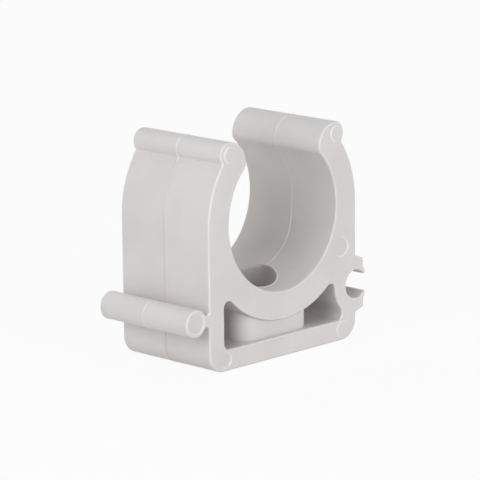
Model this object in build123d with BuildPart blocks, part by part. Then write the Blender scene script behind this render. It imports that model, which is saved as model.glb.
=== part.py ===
from build123d import *
from math import cos, radians, sin, tan
import os

# Snap-in clip for a plastic pipe, moulded in one piece of light grey polypropylene.
# The pipe lies along Y in a ring that is open at the top, on a foot with one screw through it.
# Clips join side by side: the rod on the left of one slides into the socket on the right of another.
# Origin: on the base face, under the pipe's axis, at half depth. +Z is up, away from the wall.

# Pipe seat
pipe_diameter = 20.0
ring_wall = 3.87
clip_depth = 16.2
corner_radius = 0.3  # of the small corners in the side view
edge_chamfer = 0.25  # of the edges round both faces

# Foot and the windows on either side of the screw boss
base_thickness = 2.83
window_height = 2.1  # clear height under the lowest point of the ring
side_wall = 2.83
base_corner_radius = 2.6
window_corner_radius = 0.8

# Snap-in mouth
tip_angle = 43.5  # of each bead above the horizontal through the pipe's axis
bead_radius = 1.62
bead_inset = 0.2  # of its centre from the outside of the ring
lead_in_radius = 3.2
lead_in_end_radius = 1.2  # where it meets the bore

# Screw boss and stepped screw passage
boss_left = 6.95
boss_right = 6.1
boss_setback = 0.85
boss_corner_radius = 2.6
screw_hole_diameter = 4.6
screw_hole_length = 2.8
head_recess_diameter = 8.4  # at the seat
head_recess_draft = 6.0
head_seat_angle = 90.0
recess_rim_chamfer = 0.3

# Link rod and link socket
link_height = 7.2
rod_diameter = 3.7
rod_gap = 0.43
rod_neck_height = 1.7
socket_clearance = 0.1  # on the diameter
socket_wall = 2.2
socket_mouth = 2.3
lip_reach = 1.55
lip_root_height = 7.75
lip_end_height = 6.7
lip_nib_reach = 0.75
lip_nib_height = 0.95

# Shallow ejector marks on the front face, with sloping rims
mark_depth = 0.2
mark_slope = 35.0
bead_mark_radius = 1.1
foot_mark_radius = 1.15
foot_mark_inset = 2.85  # from either side of the foot
foot_mark_height = 1.53
wall_mark_radius = 1.38
wall_mark_inset = 2.9  # from the right side
wall_mark_drop = 6.0  # below the pipe's axis
rod_mark_radius = 1.42

# Worked out from the sizes above
half_depth = clip_depth / 2
bore_radius = pipe_diameter / 2
ring_radius = bore_radius + ring_wall
bore_height = base_thickness + window_height + ring_radius
bead_circle = ring_radius - bead_inset
bead_x = bead_circle * cos(radians(tip_angle))
bead_z = bore_height + bead_circle * sin(radians(tip_angle))
lead_in_z = bead_z + bead_radius - lead_in_radius
rod_radius = rod_diameter / 2
rod_x = -(ring_radius + rod_gap + rod_radius)
socket_radius = (rod_diameter + socket_clearance) / 2
screw_radius = screw_hole_diameter / 2
recess_radius = head_recess_diameter / 2
seat_top = screw_hole_length + (recess_radius - screw_radius) / tan(radians(head_seat_angle / 2))
recess_mouth_radius = recess_radius + (bore_height - seat_top) * tan(radians(head_recess_draft))

# Screw boss, up to the middle of the ring's wall
with BuildPart() as screw_boss:
    with BuildSketch(Plane.XY.offset(base_thickness / 2)):
        with Locations(((boss_right - boss_left) / 2, 0)):
            RectangleRounded(boss_left + boss_right, clip_depth - 2 * boss_setback, boss_corner_radius)
    extrude(amount=bore_height)
    with BuildSketch(Plane.XZ):
        with Locations((0, bore_height)):
            Circle(bore_radius + ring_wall / 2)
        with Locations((0, bore_height)):
            Rectangle(2 * ring_radius, 2 * ring_radius, align=(Align.CENTER, Align.MIN))
    extrude(amount=half_depth, both=True, mode=Mode.SUBTRACT)

with BuildPart() as clip_body:
    with BuildSketch(Plane.XZ) as side_view:
        # Ring over a foot with upright sides
        with Locations((0, bore_height / 2)):
            Rectangle(2 * ring_radius, bore_height)
        fillet(side_view.vertices().group_by(Axis.Y)[0], base_corner_radius)
        with Locations((0, bore_height)):
            Circle(ring_radius)
        # Mouth: a wedge that opens from the pipe's axis
        Polygon(
            (0, bore_height),
            (2 * bead_x, 2 * lead_in_z - bore_height),
            (-2 * bead_x, 2 * lead_in_z - bore_height),
            align=None,
            mode=Mode.SUBTRACT,
        )
        # Tips: a rounded lead-in runs up to the crest of a bead that stiffens each arm
        for side in (1, -1):
            with BuildLine():
                lead_in = CenterArc((side * bead_x, lead_in_z), lead_in_radius, 90, side * 180)
                Line(lead_in @ 0, lead_in @ 1)
            make_face()
            with Locations((side * bead_x, bead_z)):
                Circle(bead_radius)
        # Link rod on its neck
        with Locations((rod_x, link_height)):
            Circle(rod_radius)
            Rectangle(2 * (rod_gap + rod_radius), rod_neck_height, align=(Align.MIN, Align.CENTER))
        # Lips of the link socket, tapered to their ends, with a nib at the mouth
        with Locations((ring_radius, link_height)):
            Polygon(
                (-socket_radius, lip_root_height / 2),
                (0, lip_root_height / 2),
                (lip_reach, lip_end_height / 2),
                (lip_reach, socket_mouth / 2 + lip_nib_height),
                (lip_reach + lip_nib_reach, socket_mouth / 2),
                (lip_reach + lip_nib_reach, -socket_mouth / 2),
                (lip_reach, -socket_mouth / 2 - lip_nib_height),
                (lip_reach, -lip_end_height / 2),
                (0, -lip_root_height / 2),
                (-socket_radius, -lip_root_height / 2),
                align=None,
            )
        # Bore of the link socket and the socket's mouth
        with Locations((ring_radius, link_height)):
            Circle(socket_radius, mode=Mode.SUBTRACT)
            Rectangle(
                2 * (lip_reach + lip_nib_reach),
                socket_mouth,
                align=(Align.MIN, Align.CENTER),
                mode=Mode.SUBTRACT,
            )
        # Small corners rounded, first the inner ones, then the outer ones
        offset(amount=corner_radius)
        offset(amount=-2 * corner_radius)
        offset(amount=corner_radius)
        # Bore for the pipe, rounded where it meets the lead-in
        with Locations((0, bore_height)):
            Circle(bore_radius, mode=Mode.SUBTRACT)
        fillet(side_view.vertices().sort_by_distance((0, bead_z))[:2], lead_in_end_radius)
    extrude(amount=half_depth, both=True)

    # Window under the ring, round the socket's wall, with every corner rounded
    with BuildSketch(Plane.XZ):
        with Locations((0, base_thickness)):
            Rectangle(
                2 * (ring_radius - side_wall),
                bore_height - base_thickness,
                align=(Align.CENTER, Align.MIN),
            )
        with Locations((0, bore_height)):
            Circle(ring_radius, mode=Mode.SUBTRACT)
        with Locations((ring_radius, link_height)):
            Circle(socket_radius + socket_wall, mode=Mode.SUBTRACT)
        offset(amount=-window_corner_radius)
        offset(amount=window_corner_radius)
    extrude(amount=half_depth, both=True, mode=Mode.SUBTRACT)

    # Edges round both faces
    faces_along_y = clip_body.faces().sort_by(Axis.Y)
    chamfer(faces_along_y[0].edges() + faces_along_y[-1].edges(), edge_chamfer)

    add(screw_boss.part)

    # Screw passage: plain hole, conical seat and recess for the head, opened into the bore
    with BuildSketch(Plane.XZ):
        Polygon(
            (0, 0),
            (screw_radius, 0),
            (screw_radius, screw_hole_length),
            (recess_radius, seat_top),
            (recess_mouth_radius, bore_height),
            (0, bore_height),
            align=None,
        )
    revolve(axis=Axis.Z, mode=Mode.SUBTRACT)
    recess_rim = clip_body.edges(Select.LAST).sort_by(Axis.Z)[-1]
    chamfer(recess_rim, recess_rim_chamfer)

    # Ejector marks, raised on the beads and on the right of the foot, sunk elsewhere
    with BuildSketch(Plane.XZ.offset(half_depth)):
        with Locations((bead_x, bead_z), (-bead_x, bead_z)):
            Circle(bead_mark_radius)
        with Locations((ring_radius - foot_mark_inset, foot_mark_height)):
            Circle(foot_mark_radius)
    extrude(amount=mark_depth, taper=mark_slope)
    with BuildSketch(Plane.XZ.offset(half_depth)):
        with Locations((foot_mark_inset - ring_radius, foot_mark_height)):
            Circle(foot_mark_radius)
        with Locations((ring_radius - wall_mark_inset, bore_height - wall_mark_drop)):
            Circle(wall_mark_radius)
        with Locations((rod_x, link_height)):
            Circle(rod_mark_radius)
    extrude(amount=-mark_depth, taper=mark_slope, mode=Mode.SUBTRACT)

clip_body.part.label = "clip_body"
os.makedirs("parts", exist_ok=True)
export_step(clip_body.part, "parts/clip_body.step")
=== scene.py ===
"""Studio scene for a snap-in pipe clip in light grey moulded polypropylene.

The clip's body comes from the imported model, at its real size in metres. This script gives it a
smooth-shaded skin with the fine traces of its mould and a moulded finish, and sets up the floor,
the light and the camera.
"""

import logging
import math
from dataclasses import dataclass, field
from enum import Enum
from typing import Any

import bmesh
import bpy
from mathutils import Matrix, Vector


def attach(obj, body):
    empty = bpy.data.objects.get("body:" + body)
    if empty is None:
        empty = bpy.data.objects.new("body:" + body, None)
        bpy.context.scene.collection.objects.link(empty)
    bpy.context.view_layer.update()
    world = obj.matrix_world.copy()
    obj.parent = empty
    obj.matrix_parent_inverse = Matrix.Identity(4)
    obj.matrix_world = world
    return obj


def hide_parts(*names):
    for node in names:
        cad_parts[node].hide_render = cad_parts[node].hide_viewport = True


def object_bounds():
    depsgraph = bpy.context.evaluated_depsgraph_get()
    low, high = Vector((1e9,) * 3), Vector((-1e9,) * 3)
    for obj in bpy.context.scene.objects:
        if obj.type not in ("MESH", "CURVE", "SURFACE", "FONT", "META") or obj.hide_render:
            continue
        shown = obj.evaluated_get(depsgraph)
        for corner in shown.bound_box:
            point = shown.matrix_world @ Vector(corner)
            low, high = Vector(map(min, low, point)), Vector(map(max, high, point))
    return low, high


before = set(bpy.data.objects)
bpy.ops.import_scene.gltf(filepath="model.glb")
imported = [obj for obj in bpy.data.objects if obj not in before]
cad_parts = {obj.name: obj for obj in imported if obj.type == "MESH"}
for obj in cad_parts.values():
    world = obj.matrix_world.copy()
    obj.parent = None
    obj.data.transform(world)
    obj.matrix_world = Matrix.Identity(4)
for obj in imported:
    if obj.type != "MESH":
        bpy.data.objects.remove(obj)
cad_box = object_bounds()

MM = 0.001
WHITE = (1.0, 1.0, 1.0, 1.0)
LOG = logging.getLogger("pipe_clip")


class RayKind(Enum):
    """Rays of light that see the backdrop as plain white."""

    CAMERA = "Is Camera Ray"
    GLOSSY = "Is Glossy Ray"
    TRANSMISSION = "Is Transmission Ray"


class FaceKind(Enum):
    """Kinds of faces on the moulding, with the tone of each: painted highlight above 0, painted shade
    below.
    """

    MAIN = 0.0
    # painted highlight on the sloping edges
    EDGE = 0.6
    # painted highlight on the rims of the ejector marks
    MARK = 0.95
    # painted highlight on the parting line
    RIDGE = 0.5
    # a brighter painted highlight where the parting line bows low in the bore
    LOW_RIDGE = 0.75
    # painted shade on the parting line along the outer sides
    SIDE_RIDGE = -0.9
    # painted highlight on the lip round the recess rim
    LIP = 1.3
    # painted shade on the walls of the screw passage
    PASSAGE = -0.7


@dataclass
class NodeGraph:
    """A shader tree with short helpers for adding and joining nodes."""

    tree: bpy.types.NodeTree

    def fill(self, node: bpy.types.Node, inputs: dict[str | int, Any]) -> None:
        """Joins or sets the inputs of a node.

        Args:
            node: the node.
            inputs: values for its sockets, by name or number; a socket joins, anything else is set.
        """
        for socket, value in inputs.items():
            if isinstance(value, bpy.types.NodeSocket):
                self.tree.links.new(value, node.inputs[socket])
            else:
                node.inputs[socket].default_value = value

    def add(self, kind: str, inputs: dict[str | int, Any] | None = None, **settings: Any) -> bpy.types.Node:
        """Adds a node.

        Args:
            kind: the node's Blender type name.
            inputs: values for its sockets, as fill takes them.
            settings: the node's own properties.

        Returns:
            The new node.
        """
        node = self.tree.nodes.new(kind)
        for name, value in settings.items():
            setattr(node, name, value)
        self.fill(node, inputs or {})
        return node

    def combine(self, operation: str, first: Any, second: Any) -> bpy.types.NodeSocket:
        """Returns the result of a Math node on two sockets or numbers."""
        return self.add("ShaderNodeMath", {0: first, 1: second}, operation=operation).outputs[0]

    def noise(self, place: bpy.types.NodeSocket, scale: float, detail: float) -> bpy.types.NodeSocket:
        """Returns the value of a noise texture."""
        inputs = {"Vector": place, "Scale": scale, "Detail": detail}
        return self.add("ShaderNodeTexNoise", inputs).outputs["Fac"]

    def span(self, value: Any, low: float, high: float, start: float, end: float) -> bpy.types.NodeSocket:
        """Maps a value smoothly from one range to another.

        Args:
            value: the socket to map.
            low: the value that gives start.
            high: the value that gives end.
            start: the result at low.
            end: the result at high.

        Returns:
            The mapped value's socket.
        """
        inputs = {"Value": value, "From Min": low, "From Max": high, "To Min": start, "To Max": end}
        return self.add("ShaderNodeMapRange", inputs, interpolation_type="SMOOTHSTEP").outputs["Result"]

    def blend(self, share: Any, first: Any, second: Any, clamp: bool = True) -> bpy.types.NodeSocket:
        """Mixes two colours.

        Args:
            share: the share of the second colour.
            first: the first colour, or its socket.
            second: the second colour, or its socket.
            clamp: whether the share is kept between 0 and 1.

        Returns:
            The mixed colour's socket.
        """
        inputs = {"Factor": share, "A": first, "B": second}
        return self.add("ShaderNodeMix", inputs, data_type="RGBA", clamp_factor=clamp).outputs["Result"]

    def white_to_rays(self) -> bpy.types.NodeSocket:
        """Tells the rays that see the backdrop as plain white from the others.

        Returns:
            A socket that is 1 for those rays and 0 for the others.
        """
        path = self.add("ShaderNodeLightPath")
        camera, glossy, transmission = (path.outputs[kind.value] for kind in RayKind)
        return self.combine("MAXIMUM", self.combine("MAXIMUM", camera, glossy), transmission)


@dataclass(frozen=True)
class MouldedPolypropylene:
    """Satin light grey polypropylene as it comes from the mould.

    Broad flow marks vary its colour, a fine grain varies its gloss, and the tone of a face paints light
    on it: above 0 it draws the colour towards a lighter one, a painted highlight, and below 0 away from
    it, a painted shade.
    """

    colour: tuple[float, float, float] = (0.644, 0.606, 0.593)
    shade: tuple[float, float, float] = (0.611, 0.573, 0.558)
    # painted highlight: the lighter colour that the faces' tones draw towards
    painted_highlight: tuple[float, float, float] = (0.726, 0.686, 0.673)
    # the face attribute that holds each face's tone of painted highlight or painted shade
    tone: str = "painted_light_tone"
    flow_scale: float = 120.0
    flow_detail: float = 3.0
    flow_range: tuple[float, float] = (0.35, 0.65)
    flow_height: float = 0.02 * MM
    grain_scale: float = 4200.0
    grain_detail: float = 2.0
    grain_range: tuple[float, float] = (0.3, 0.7)
    grain_height: float = 0.002 * MM
    roughness: tuple[float, float] = (0.40, 0.52)
    bump_strength: float = 0.6
    refraction: float = 1.49

    def material(self, name: str) -> bpy.types.Material:
        """Builds the material.

        Args:
            name: the material's name.

        Returns:
            A node material on Object coordinates, with the faces' tones of painted highlight and painted
            shade.
        """
        material = bpy.data.materials.new(name)
        material.use_nodes = True
        graph = NodeGraph(material.node_tree)
        place = graph.add("ShaderNodeTexCoord").outputs["Object"]
        flow = graph.noise(place, self.flow_scale, self.flow_detail)
        grain = graph.noise(place, self.grain_scale, self.grain_detail)
        flow_share = graph.span(flow, *self.flow_range, 0.0, 1.0)
        flow_colour = graph.blend(flow_share, (*self.shade, 1.0), (*self.colour, 1.0))
        # painted light: a face's tone draws its colour towards the lighter colour as a painted highlight,
        # or below 0 away from it as painted shade
        tone = graph.add("ShaderNodeAttribute", attribute_name=self.tone).outputs["Fac"]
        waves = graph.combine("MULTIPLY", flow, self.flow_height)
        skin = graph.combine("MULTIPLY", grain, self.grain_height)
        height = graph.combine("ADD", waves, skin)
        relief = {"Height": height, "Distance": 1.0, "Strength": self.bump_strength}
        graph.fill(material.node_tree.nodes["Principled BSDF"], {
            "Base Color": graph.blend(tone, flow_colour, (*self.painted_highlight, 1.0), clamp=False),
            "Roughness": graph.span(grain, *self.grain_range, *self.roughness),
            "Normal": graph.add("ShaderNodeBump", relief).outputs["Normal"],
            "IOR": self.refraction,
        })
        return material


@dataclass(frozen=True)
class PipeBore:
    """The round seat of the pipe, along Y, with the screw passage down from its floor."""

    radius: float = 10.0 * MM
    height: float = 18.8 * MM
    passage_top: float = 10.8 * MM  # just above the highest point of the passage's rim

    def outside(self, place: Vector) -> float:
        """Returns how far a point is outside the bore's surface, below 0 for a point in the bore."""
        return math.hypot(place.x, place.z - self.height) - self.radius

    def floor_at(self, across: float) -> float:
        """Returns the height of the bore's floor at a place along X."""
        return self.height - math.sqrt(self.radius ** 2 - across ** 2)

    def in_passage(self, place: Vector, radius: float) -> bool:
        """Tells whether a point is in the screw passage, taken up to a radius from its axis."""
        return math.hypot(place.x, place.y) < radius and place.z < self.passage_top


@dataclass(frozen=True)
class PartingLine:
    """The fine raised line at half depth, where the two halves of the mould met.

    Low in the bore, on the right, it bows a little to the front.
    """

    half_width: float = 0.13 * MM
    height: float = 0.05 * MM
    foot_height: float = 0.05 * MM  # the underside, up to here, has no line
    passage_radius: float = 4.85 * MM  # the line ends here at the screw passage
    bow: float = 0.55 * MM
    bow_start: float = math.radians(10.0)  # below the horizontal through the pipe's axis
    bow_end: float = math.radians(64.0)
    bore_reach: float = 0.02 * MM  # what is this little outside the bore's surface is still on it
    tolerance: float = 0.001 * MM
    cut_tolerance: float = 0.0001 * MM
    bore: PipeBore = field(default_factory=PipeBore)

    def depth_at(self, place: Vector) -> float:
        """Finds the line's middle.

        Args:
            place: a point of the clip.

        Returns:
            The line's place along Y beside that point.
        """
        angle = math.atan2(self.bore.height - place.z, place.x)
        if self.bore.outside(place) >= self.bore_reach or not self.bow_start < angle < self.bow_end:
            return 0.0
        return -self.bow * math.sin(math.pi * (angle - self.bow_start) / (self.bow_end - self.bow_start))

    def carries(self, place: Vector, reach: float) -> bool:
        """Tells whether a point is on the line, which leaves out the underside and the screw passage.

        Args:
            place: the point.
            reach: how far from the line's middle the point may be.

        Returns:
            True for a point on the line.
        """
        in_passage = self.bore.in_passage(place, self.passage_radius)
        on_line = abs(place.y - self.depth_at(place)) < reach + self.tolerance
        return on_line and place.z > self.foot_height and not in_passage

    def raise_on(self, shape: bmesh.types.BMesh, low: Vector, high: Vector) -> None:
        """Cuts three lines round the shape and lifts the middle one.

        The shape is bent for the cuts, so that the line's bow is straight.

        Args:
            shape: the merged shape, changed in place.
            low: the lowest corner of the box that the shape stays in.
            high: the highest corner of that box.
        """
        for vert in shape.verts:
            vert.co.y -= self.depth_at(vert.co)
        for depth in (-self.half_width, 0.0, self.half_width):
            bmesh.ops.bisect_plane(
                shape,
                geom=shape.verts[:] + shape.edges[:] + shape.faces[:],
                dist=self.cut_tolerance,
                plane_co=(0.0, depth, 0.0),
                plane_no=(0.0, 1.0, 0.0),
            )
        for vert in shape.verts:
            vert.co.y += self.depth_at(vert.co)
        shape.normal_update()
        crest = [vert for vert in shape.verts if self.carries(vert.co, 0.0)]
        places = [vert.co + vert.normal * self.height for vert in crest]
        for vert, place in zip(crest, places):
            vert.co = [min(max(place[axis], low[axis]), high[axis]) for axis in range(3)]


@dataclass(frozen=True)
class RecessRim:
    """The rim of the screw recess in the bore's floor.

    Along its front half it is sharp, with a fine lip that the mould left on it.
    """

    inner: float = 4.5 * MM  # the rim's upper edge is between these two radii
    outer: float = 5.15 * MM
    surface_range: float = 0.03 * MM  # what is this near to the bore's surface is on it
    slope_width: float = 0.6 * MM  # longest edge across the slope under the upper edge
    shift: float = 0.1 * MM  # of the upper edge towards the screw
    overlap: float = 0.03 * MM  # of the upper edge over the wall
    wall_foot: float = 4.7 * MM  # the wall is drawn out from this height
    wall_head: float = 8.4 * MM  # and in full from this one
    sharp_turn: float = math.radians(2.0)  # behind half depth, where the rim starts to soften
    soft_turn: float = math.radians(16.0)
    lip_radius: float = 4.9 * MM
    lip_half_width: float = 0.09 * MM
    lip_start: float = math.radians(6.0)
    lip_end: float = math.radians(-180.0)
    lip_steps: int = 72
    lip_sides: int = 10
    bore: PipeBore = field(default_factory=PipeBore)

    def on_bore(self, place: Vector) -> bool:
        """Tells whether a point is on the bore's surface."""
        return abs(self.bore.outside(place)) <= self.surface_range

    def sharpness(self, place: Vector) -> float:
        """Returns how sharp the rim is at a point: 1 along the front half, falling to 0 at the back."""
        turn = math.atan2(place.y, abs(place.x))
        return min(max((self.soft_turn - turn) / (self.soft_turn - self.sharp_turn), 0.0), 1.0)

    def drawn(self, place: Vector, radius: float, share: float) -> Vector:
        """Moves a point level, straight towards the screw's axis or away from it.

        Args:
            place: the point.
            radius: the distance from the axis that a full move ends at.
            share: the share of the full move.

        Returns:
            The point's new place.
        """
        scale = 1.0 + share * (radius / math.hypot(place.x, place.y) - 1.0)
        return Vector((place.x * scale, place.y * scale, place.z))

    def sharpen(self, shape: bmesh.types.BMesh) -> None:
        """Draws the rim's upper edge in a little, and the foot of its slope and the wall out under it.

        Args:
            shape: the merged shape, changed in place.
        """
        moves = {}
        for vert in shape.verts:
            radius = math.hypot(vert.co.x, vert.co.y)
            if not self.inner < radius < self.outer or not self.on_bore(vert.co):
                continue
            sharp = self.sharpness(vert.co)
            edge_radius = radius - self.shift * sharp
            moves[vert] = self.drawn(vert.co, edge_radius, 1.0)
            moves[vert].z = self.bore.floor_at(moves[vert].x)
            for edge in vert.link_edges:
                foot = edge.other_vert(vert)
                if not self.on_bore(foot.co) and edge.calc_length() < self.slope_width:
                    moves[foot] = self.drawn(foot.co, edge_radius - self.overlap, sharp)
        for vert in shape.verts:
            in_passage = self.bore.in_passage(vert.co, self.outer)
            if vert in moves or not in_passage or vert.co.z <= self.wall_foot:
                continue
            lift = min((vert.co.z - self.wall_foot) / (self.wall_head - self.wall_foot), 1.0)
            share = self.sharpness(vert.co) * lift
            moves[vert] = self.drawn(vert.co, self.lip_radius - self.overlap, share)
        for vert, place in moves.items():
            vert.co = place

    def add_lip(self, shape: bmesh.types.BMesh) -> set[bmesh.types.BMFace]:
        """Adds the lip, a thin round bead along the front half of the rim.

        Args:
            shape: the merged shape, which the bead is added to.

        Returns:
            The bead's faces.
        """
        others = set(shape.faces)
        upright = Matrix.Translation((0.0, self.lip_radius, 0.0)) @ Matrix.Rotation(-math.pi / 2, 4, "Y")
        ring = bmesh.ops.create_circle(
            shape,
            cap_ends=True,
            segments=self.lip_sides,
            radius=self.lip_half_width,
            matrix=Matrix.Rotation(self.lip_start - math.pi / 2, 4, "Z") @ upright,
        )
        cap = ring["verts"][0].link_faces[0]
        bmesh.ops.spin(
            shape,
            geom=[*cap.verts, *cap.edges, cap],
            cent=(0.0, 0.0, 0.0),
            axis=(0.0, 0.0, 1.0),
            angle=self.lip_end - self.lip_start,
            steps=self.lip_steps,
        )
        faces = set(shape.faces) - others
        for vert in {vert for face in faces for vert in face.verts}:
            vert.co.z += self.bore.floor_at(self.lip_radius * vert.co.x / math.hypot(vert.co.x, vert.co.y))
        bmesh.ops.recalc_face_normals(shape, faces=list(faces))
        return faces


@dataclass(frozen=True)
class SoftEdges:
    """Shading that keeps flat faces flat and rolls the light over the edges of both ends."""

    smooth_angle: float = math.radians(50.0)
    ridge_angle: float = math.radians(15.0)
    edge_depth: float = 0.3 * MM  # sloping edges and marks are this near to an end face
    edge_slope: float = math.sqrt(0.5)  # a sloping edge's normal has this share along Y
    edge_range: float = 0.1
    mark_slope: float = math.sin(math.radians(35.0))  # and the rim of a mark has this one
    mark_range: float = 0.03
    passage_slope: float = 0.4  # a wall's normal in the screw passage has less than this along Z
    side_inner: float = 10.6 * MM  # the outer sides, where the parting line has painted shade
    side_outer: float = 14.1 * MM
    side_top: float = 26.5 * MM
    parting: PartingLine = field(default_factory=PartingLine)
    rim: RecessRim = field(default_factory=RecessRim)

    def ridge_kind(self, centre: Vector) -> FaceKind:
        """Tells which kind a face on the parting line is.

        Args:
            centre: the face's centre.

        Returns:
            The face's kind.
        """
        # the parting line carries a painted highlight, but painted shade along the outer sides
        if self.parting.depth_at(centre) < 0.0:
            return FaceKind.LOW_RIDGE
        on_side = self.side_inner < abs(centre.x) < self.side_outer and centre.z < self.side_top
        return FaceKind.SIDE_RIDGE if on_side else FaceKind.RIDGE

    def kind(self, face: bmesh.types.BMFace, half_depth: float) -> FaceKind:
        """Tells which kind a face is.

        Args:
            face: a face of the clip.
            half_depth: the distance of both end faces from half depth.

        Returns:
            The face's kind.
        """
        places = [vert.co for vert in face.verts]
        centre = face.calc_center_median()
        slope = abs(face.normal.y)
        if all(self.parting.carries(place, self.parting.half_width) for place in places):
            return self.ridge_kind(centre)
        # painted shade: the walls of the screw passage get a darker tone
        in_passage = all(self.rim.bore.in_passage(place, self.rim.outer) for place in places)
        if in_passage and face.normal.z < self.passage_slope:
            return FaceKind.PASSAGE
        if half_depth - abs(centre.y) > self.edge_depth:
            return FaceKind.MAIN
        if abs(slope - self.mark_slope) < self.mark_range:
            return FaceKind.MARK
        return FaceKind.EDGE if abs(slope - self.edge_slope) < self.edge_range else FaceKind.MAIN

    def sharing(self, kind: FaceKind) -> tuple[tuple[FaceKind, ...], float]:
        """Tells which faces a face shares its shading with.

        Args:
            kind: the face's kind.

        Returns:
            The kinds of those faces, and the largest angle between them and the face.
        """
        ridges = (FaceKind.RIDGE, FaceKind.LOW_RIDGE, FaceKind.SIDE_RIDGE)
        if kind in ridges:
            return ridges, self.ridge_angle
        if kind in (FaceKind.LIP, FaceKind.MARK):
            return (kind,), self.smooth_angle
        return (FaceKind.MAIN, FaceKind.PASSAGE), self.smooth_angle

    def corner_normals(self, kinds: dict[bmesh.types.BMFace, FaceKind]) -> list[Vector]:
        """Works out the shading normal at each corner of each face.

        A main face shares its normals with the main faces beside it, a sloping edge takes those of
        the main faces on either side, and the parting line's flanks share theirs along the line.
        The rim of a mark leans half-way to the end face that it is on.

        Args:
            kinds: the faces in their order, with the kind of each.

        Returns:
            The normals in the order of the faces and their corners.
        """
        normals = []
        for face, kind in kinds.items():
            wanted, limit = self.sharing(kind)
            end_normal = Vector((0.0, math.copysign(1.0, face.normal.y), 0.0))
            for vert in face.verts:
                near = [other for other in vert.link_faces
                        if kinds[other] in wanted and other.normal.angle(face.normal, math.pi) < limit]
                total = sum((other.normal * other.calc_area() for other in near), Vector())
                normal = total.normalized() if total.length > 0.0 else face.normal.copy()
                normals.append((normal + end_normal).normalized() if kind is FaceKind.MARK else normal)
        return normals


@dataclass
class ClipBody:
    """The moulded clip, drawn as a smooth-shaded copy of its solid."""

    node: str = "clip_body"
    merge_distance: float = 0.0005 * MM
    half_depth: float = 8.1 * MM
    shading: SoftEdges = field(default_factory=SoftEdges)
    finish: MouldedPolypropylene = field(default_factory=MouldedPolypropylene)

    def build_mesh(self) -> bpy.types.Mesh:
        """Copies the solid's mesh, joins its triangles, adds the mould's traces and shades it smooth.

        Returns:
            The mesh, with its normals and the tones of painted highlight and painted shade on its faces.
        """
        shape = bmesh.new()
        shape.from_mesh(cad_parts[self.node].data)
        bmesh.ops.remove_doubles(shape, verts=shape.verts, dist=self.merge_distance)
        self.shading.rim.sharpen(shape)
        self.shading.parting.raise_on(shape, Vector(cad_box[0]), Vector(cad_box[1]))
        lip = self.shading.rim.add_lip(shape)
        shape.normal_update()
        kinds = {}
        for face in shape.faces:
            face.smooth = True
            # each kind brings its tone of painted highlight or painted shade; the lip gets a painted
            # highlight
            kinds[face] = FaceKind.LIP if face in lip else self.shading.kind(face, self.half_depth)
        normals = self.shading.corner_normals(kinds)
        tones = [kind.value for kind in kinds.values()]
        mesh = bpy.data.meshes.new("moulded_clip")
        shape.to_mesh(mesh)
        shape.free()
        mesh.normals_split_custom_set(normals)
        mesh.attributes.new(self.finish.tone, "FLOAT", "FACE").data.foreach_set("value", tones)
        return mesh

    def build(self) -> bpy.types.Object:
        """Makes the clip's visible piece in place of its solid.

        Returns:
            The piece, riding on the root body.
        """
        mesh = self.build_mesh()
        mesh.materials.append(self.finish.material("light_grey_polypropylene"))
        piece = bpy.data.objects.new("moulded_clip", mesh)
        bpy.context.scene.collection.objects.link(piece)
        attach(piece, "root")
        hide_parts(self.node)
        return piece


@dataclass(frozen=True)
class Softbox:
    """A square soft lamp that faces the middle of the clip, with its power in watts."""

    name: str
    place: tuple[float, float, float]
    power: float
    size: float = 0.4
    aim: tuple[float, float, float] = (0.0, 0.0, 15.0 * MM)
    colour: tuple[float, float, float] = (0.955, 1.0, 1.01)

    def build(self) -> bpy.types.Object:
        """Hangs the lamp.

        Returns:
            The lamp.
        """
        light = bpy.data.lights.new(self.name, "AREA")
        light.size = self.size
        light.energy = self.power
        light.color = self.colour
        lamp = bpy.data.objects.new(self.name, light)
        lamp.location = self.place
        lamp.rotation_euler = (Vector(self.aim) - Vector(self.place)).to_track_quat("-Z", "Y").to_euler()
        bpy.context.scene.collection.objects.link(lamp)
        return lamp


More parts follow.
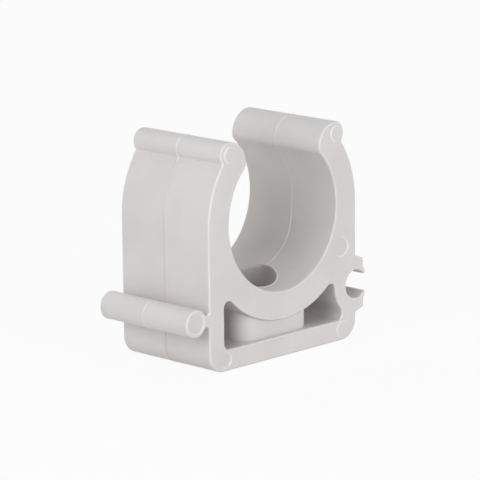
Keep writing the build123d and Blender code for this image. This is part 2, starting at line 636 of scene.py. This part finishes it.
@dataclass
class Studio:
    """Pale floor, white surroundings and soft lamps."""

    floor_size: float = 4.0
    floor_white: float = 0.9
    shadow_share: float = 0.1  # of the floor's own look in what the camera sees, the rest is white
    world_strength: float = 0.2
    lamps: tuple[Softbox, ...] = (
        Softbox("left_softbox", (-0.6, 0.0, 0.13), 0.88),
        Softbox("front_softbox", (-0.05, -0.6, 0.11), 2.32),
        Softbox("right_softbox", (0.6, -0.1, 0.15), 1.29),
        Softbox("back_softbox", (0.1, 0.6, 0.15), 1.5),
        Softbox("high_softbox", (-0.5, -0.11, 0.32), 1.42),
        Softbox("top_softbox", (0.0, 0.0, 0.6), 0.56),
    )

    def floor_material(self) -> bpy.types.Material:
        """Builds the floor's finish, white to the camera apart from a soft shadow.

        Returns:
            The material.
        """
        material = bpy.data.materials.new("pale_floor")
        material.use_nodes = True
        graph = NodeGraph(material.node_tree)
        material.node_tree.nodes.clear()
        pale = (self.floor_white, self.floor_white, self.floor_white, 1.0)
        matt = graph.add("ShaderNodeBsdfDiffuse", {"Color": pale})
        glow = graph.add("ShaderNodeEmission", {"Color": WHITE, "Strength": 1.0})
        share = graph.combine("MULTIPLY", graph.white_to_rays(), 1.0 - self.shadow_share)
        mix = graph.add("ShaderNodeMixShader", {0: share, 1: matt.outputs[0], 2: glow.outputs[0]})
        graph.add("ShaderNodeOutputMaterial", {"Surface": mix.outputs[0]})
        return material

    def build_floor(self) -> bpy.types.Object:
        """Lays the floor.

        Returns:
            The floor.
        """
        shape = bmesh.new()
        bmesh.ops.create_grid(shape, x_segments=1, y_segments=1, size=self.floor_size / 2)
        mesh = bpy.data.meshes.new("floor")
        shape.to_mesh(mesh)
        shape.free()
        mesh.materials.append(self.floor_material())
        floor = bpy.data.objects.new("floor", mesh)
        bpy.context.scene.collection.objects.link(floor)
        return floor

    def build_world(self) -> bpy.types.World:
        """Surrounds the object with soft light that the camera sees as white.

        Returns:
            The world, set as the scene's own.
        """
        world = bpy.data.worlds.new("light_tent")
        world.use_nodes = True
        graph = NodeGraph(world.node_tree)
        world.node_tree.nodes.clear()
        light = graph.add("ShaderNodeBackground", {"Color": WHITE, "Strength": self.world_strength})
        backdrop = graph.add("ShaderNodeBackground", {"Color": WHITE, "Strength": 1.0})
        inputs = {0: graph.white_to_rays(), 1: light.outputs[0], 2: backdrop.outputs[0]}
        mix = graph.add("ShaderNodeMixShader", inputs)
        graph.add("ShaderNodeOutputWorld", {"Surface": mix.outputs[0]})
        bpy.context.scene.world = world
        return world


@dataclass
class PhotoCamera:
    """A long-lens camera in front of the clip, turned half-way to its left side and a little above."""

    azimuth: float = math.radians(-45.448)
    elevation: float = math.radians(12.555)
    roll: float = math.radians(0.599)
    aim: Vector = field(default_factory=lambda: Vector((0.01 * MM, -0.01 * MM, 14.32 * MM)))
    distance: float = 418.2 * MM
    focal_pixels: float = 3172.7
    image_pixels: float = 480.0
    sensor_mm: float = 36.0

    def build(self) -> bpy.types.Object:
        """Places the camera and makes it the scene's own.

        Returns:
            The camera.
        """
        data = bpy.data.cameras.new("photo_camera")
        data.sensor_width = self.sensor_mm
        data.lens = self.sensor_mm * self.focal_pixels / self.image_pixels
        camera = bpy.data.objects.new("photo_camera", data)
        turn = Matrix.Rotation(self.azimuth, 4, "Z") @ Matrix.Rotation(math.pi / 2 - self.elevation, 4, "X")
        turn = turn @ Matrix.Rotation(-self.roll, 4, "Z")
        back = turn @ Vector((0.0, 0.0, self.distance))
        camera.matrix_world = Matrix.Translation(self.aim + back) @ turn
        bpy.context.scene.collection.objects.link(camera)
        bpy.context.scene.camera = camera
        return camera


def main() -> None:
    """Builds the clip, its surroundings, the light and the camera."""
    logging.basicConfig(level=logging.INFO)
    bpy.context.scene.view_settings.view_transform = "Standard"
    clip = ClipBody().build()
    LOG.info("%s: %d faces", clip.name, len(clip.data.polygons))
    studio = Studio()
    floor = studio.build_floor()
    world = studio.build_world()
    LOG.info("%s in %s", floor.name, world.name)
    for softbox in studio.lamps:
        lamp = softbox.build()
        LOG.info("%s: %.2f W", lamp.name, lamp.data.energy)
    camera = PhotoCamera().build()
    LOG.info("%s: lens %.1f mm", camera.name, camera.data.lens)


if __name__ == "__main__":
    main()
